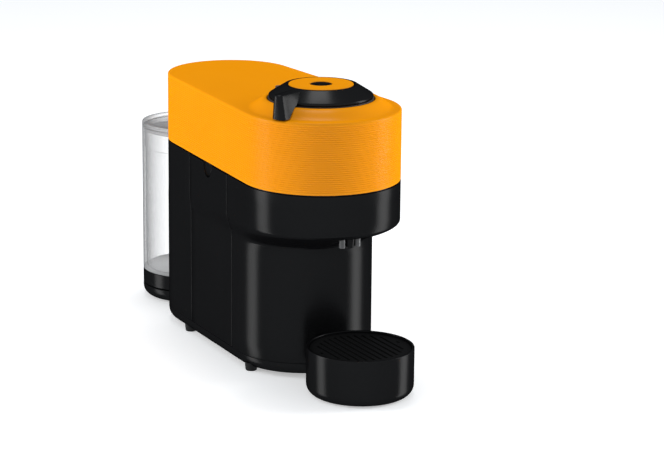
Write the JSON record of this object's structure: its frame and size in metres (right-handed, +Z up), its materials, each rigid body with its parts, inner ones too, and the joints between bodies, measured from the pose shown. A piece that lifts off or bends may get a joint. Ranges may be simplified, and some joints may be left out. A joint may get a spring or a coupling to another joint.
{
  "type": "pod coffee machine",
  "caption": "Pod coffee machine with a ribbed head cover, twist-lock lid, spinning capsule cup, side capsule container, rear water tank and round cup support.",
  "frame": {"origin": "middle of the footprint, on the surface the machine stands on", "axes": "+Z up, -Y to the front where the cup stands, +Y to the rear where the tank is, +X to the machine's right seen from behind the cup"},
  "size_m": [0.136, 0.426, 0.25],
  "materials": {
    "cover_yellow": "satin moulded plastic with fine ribs",
    "body_black": "satin black moulded plastic",
    "lever_black": "smooth black plastic",
    "grid_black": "matte black plastic",
    "frame_plastic": "glass-filled plastic",
    "cup_grey": "smooth grey plastic",
    "steel": "bright steel",
    "outlet_grey": "light grey plastic",
    "heater_metal": "cast",
    "rubber": "matte",
    "hose_clear": "silicone",
    "board_green": "coated laminate",
    "part_black": "moulded",
    "tank_clear": "clear plastic",
    "light_white": "translucent"
  },
  "bodies": {
    "chassis": {"base_feet": "rubber", "base_pan": "body_black", "base_screws": "steel", "bearing_carrier": "frame_plastic", "board_parts": "part_black", "board_stands": "frame_plastic", "brew_chamber": "frame_plastic", "capsule_chute": "frame_plastic", "chassis_deck": "frame_plastic", "coffee_duct": "hose_clear", "coffee_outlet": "frame_plastic", "container_bay": "frame_plastic", "control_board": "board_green", "cord_gland": "body_black", "deck_screws": "steel", "drive_belt": "rubber", "drive_motor": "steel", "feed_hose": "hose_clear", "flow_heater": "heater_metal", "flow_meter": "part_black", "front_housing": "body_black", "head_cover": "cover_yellow", "head_seam": "body_black", "hinge_bracket": "frame_plastic", "hinge_pin": "steel", "lock_collar": "steel", "motor_bracket": "steel", "outlet_pins": "outlet_grey", "pressure_hose": "hose_clear", "pump_mount": "rubber", "rear_housing": "body_black", "right_side_cover": "body_black", "spin_bearings": "steel", "tank_dock": "frame_plastic", "water_pump": "steel"},
    "spinner": {"capsule_cup": "cup_grey", "spin_shaft": "steel", "cup_pulley": "frame_plastic"},
    "motor_rotor": {"motor_shaft": "steel", "motor_pulley": "frame_plastic"},
    "lid": {"lid_frame": "frame_plastic", "injector_head": "frame_plastic", "code_reader": "part_black", "lid_seal": "rubber", "top_disc": "cover_yellow", "light_ring": "light_white", "button_spring": "steel"},
    "lever": {"lever_ring": "lever_black", "bayonet_ring": "steel"},
    "button": {"brew_button": "lever_black"},
    "container": {"capsule_container": "body_black"},
    "tank": {"tank_body": "tank_clear", "tank_base": "body_black", "valve_cage": "frame_plastic", "valve_spring": "steel"},
    "tank_cap": {"tank_lid": "tank_clear"},
    "valve": {"tank_valve": "frame_plastic"},
    "tray": {"drip_tray": "body_black"},
    "grid": {"drip_grid": "grid_black"}
  },
  "joints": [
    {"name": "lid_hinge", "type": "hinge", "parent": "chassis", "child": "lid", "pos_m": [0, -0.0437, 0.2375], "axis": [-1, 0, 0], "range_deg": [0, 75]},
    {"name": "lever_turn", "type": "hinge", "parent": "lid", "child": "lever", "pos_m": [0, -0.0942, 0.24], "axis": [0, 0, 1], "range_deg": [0, 60]},
    {"name": "button_press", "type": "slide", "parent": "lid", "child": "button", "axis": [0, 0, -1], "range_m": [0, 0.0012], "stiffness_N_per_m": 600, "springref_m": -0.0005, "deforming": ["button_spring"]},
    {"name": "cup_spin", "type": "hinge", "parent": "chassis", "child": "spinner", "pos_m": [0, -0.0942, 0.15], "axis": [0, 0, 1], "continuous": true},
    {"name": "motor_spin", "type": "hinge", "parent": "chassis", "child": "motor_rotor", "pos_m": [0.026, -0.0702, 0.11], "axis": [0, 0, 1], "continuous": true},
    {"name": "container_slide", "type": "slide", "parent": "chassis", "child": "container", "axis": [-1, 0, 0], "range_m": [0, 0.125]},
    {"name": "tank_lift", "type": "slide", "parent": "chassis", "child": "tank", "axis": [0, 0, 1], "range_m": [0, 0.16]},
    {"name": "tank_lid_lift", "type": "slide", "parent": "tank", "child": "tank_cap", "axis": [0, 0, 1], "range_m": [0, 0.03]},
    {"name": "valve_open", "type": "slide", "parent": "tank", "child": "valve", "axis": [0, 0, 1], "range_m": [0, 0.002], "stiffness_N_per_m": 200, "springref_m": -0.001, "deforming": ["valve_spring"]},
    {"name": "tray_slide", "type": "slide", "parent": "chassis", "child": "tray", "axis": [0, -1, 0], "range_m": [0, 0.06]},
    {"name": "grid_lift", "type": "slide", "parent": "tray", "child": "grid", "axis": [0, 0, 1], "range_m": [0, 0.03]}
  ],
  "couplings": [
    {"joint": "motor_spin", "follows": "cup_spin", "ratio": 2}
  ]
}
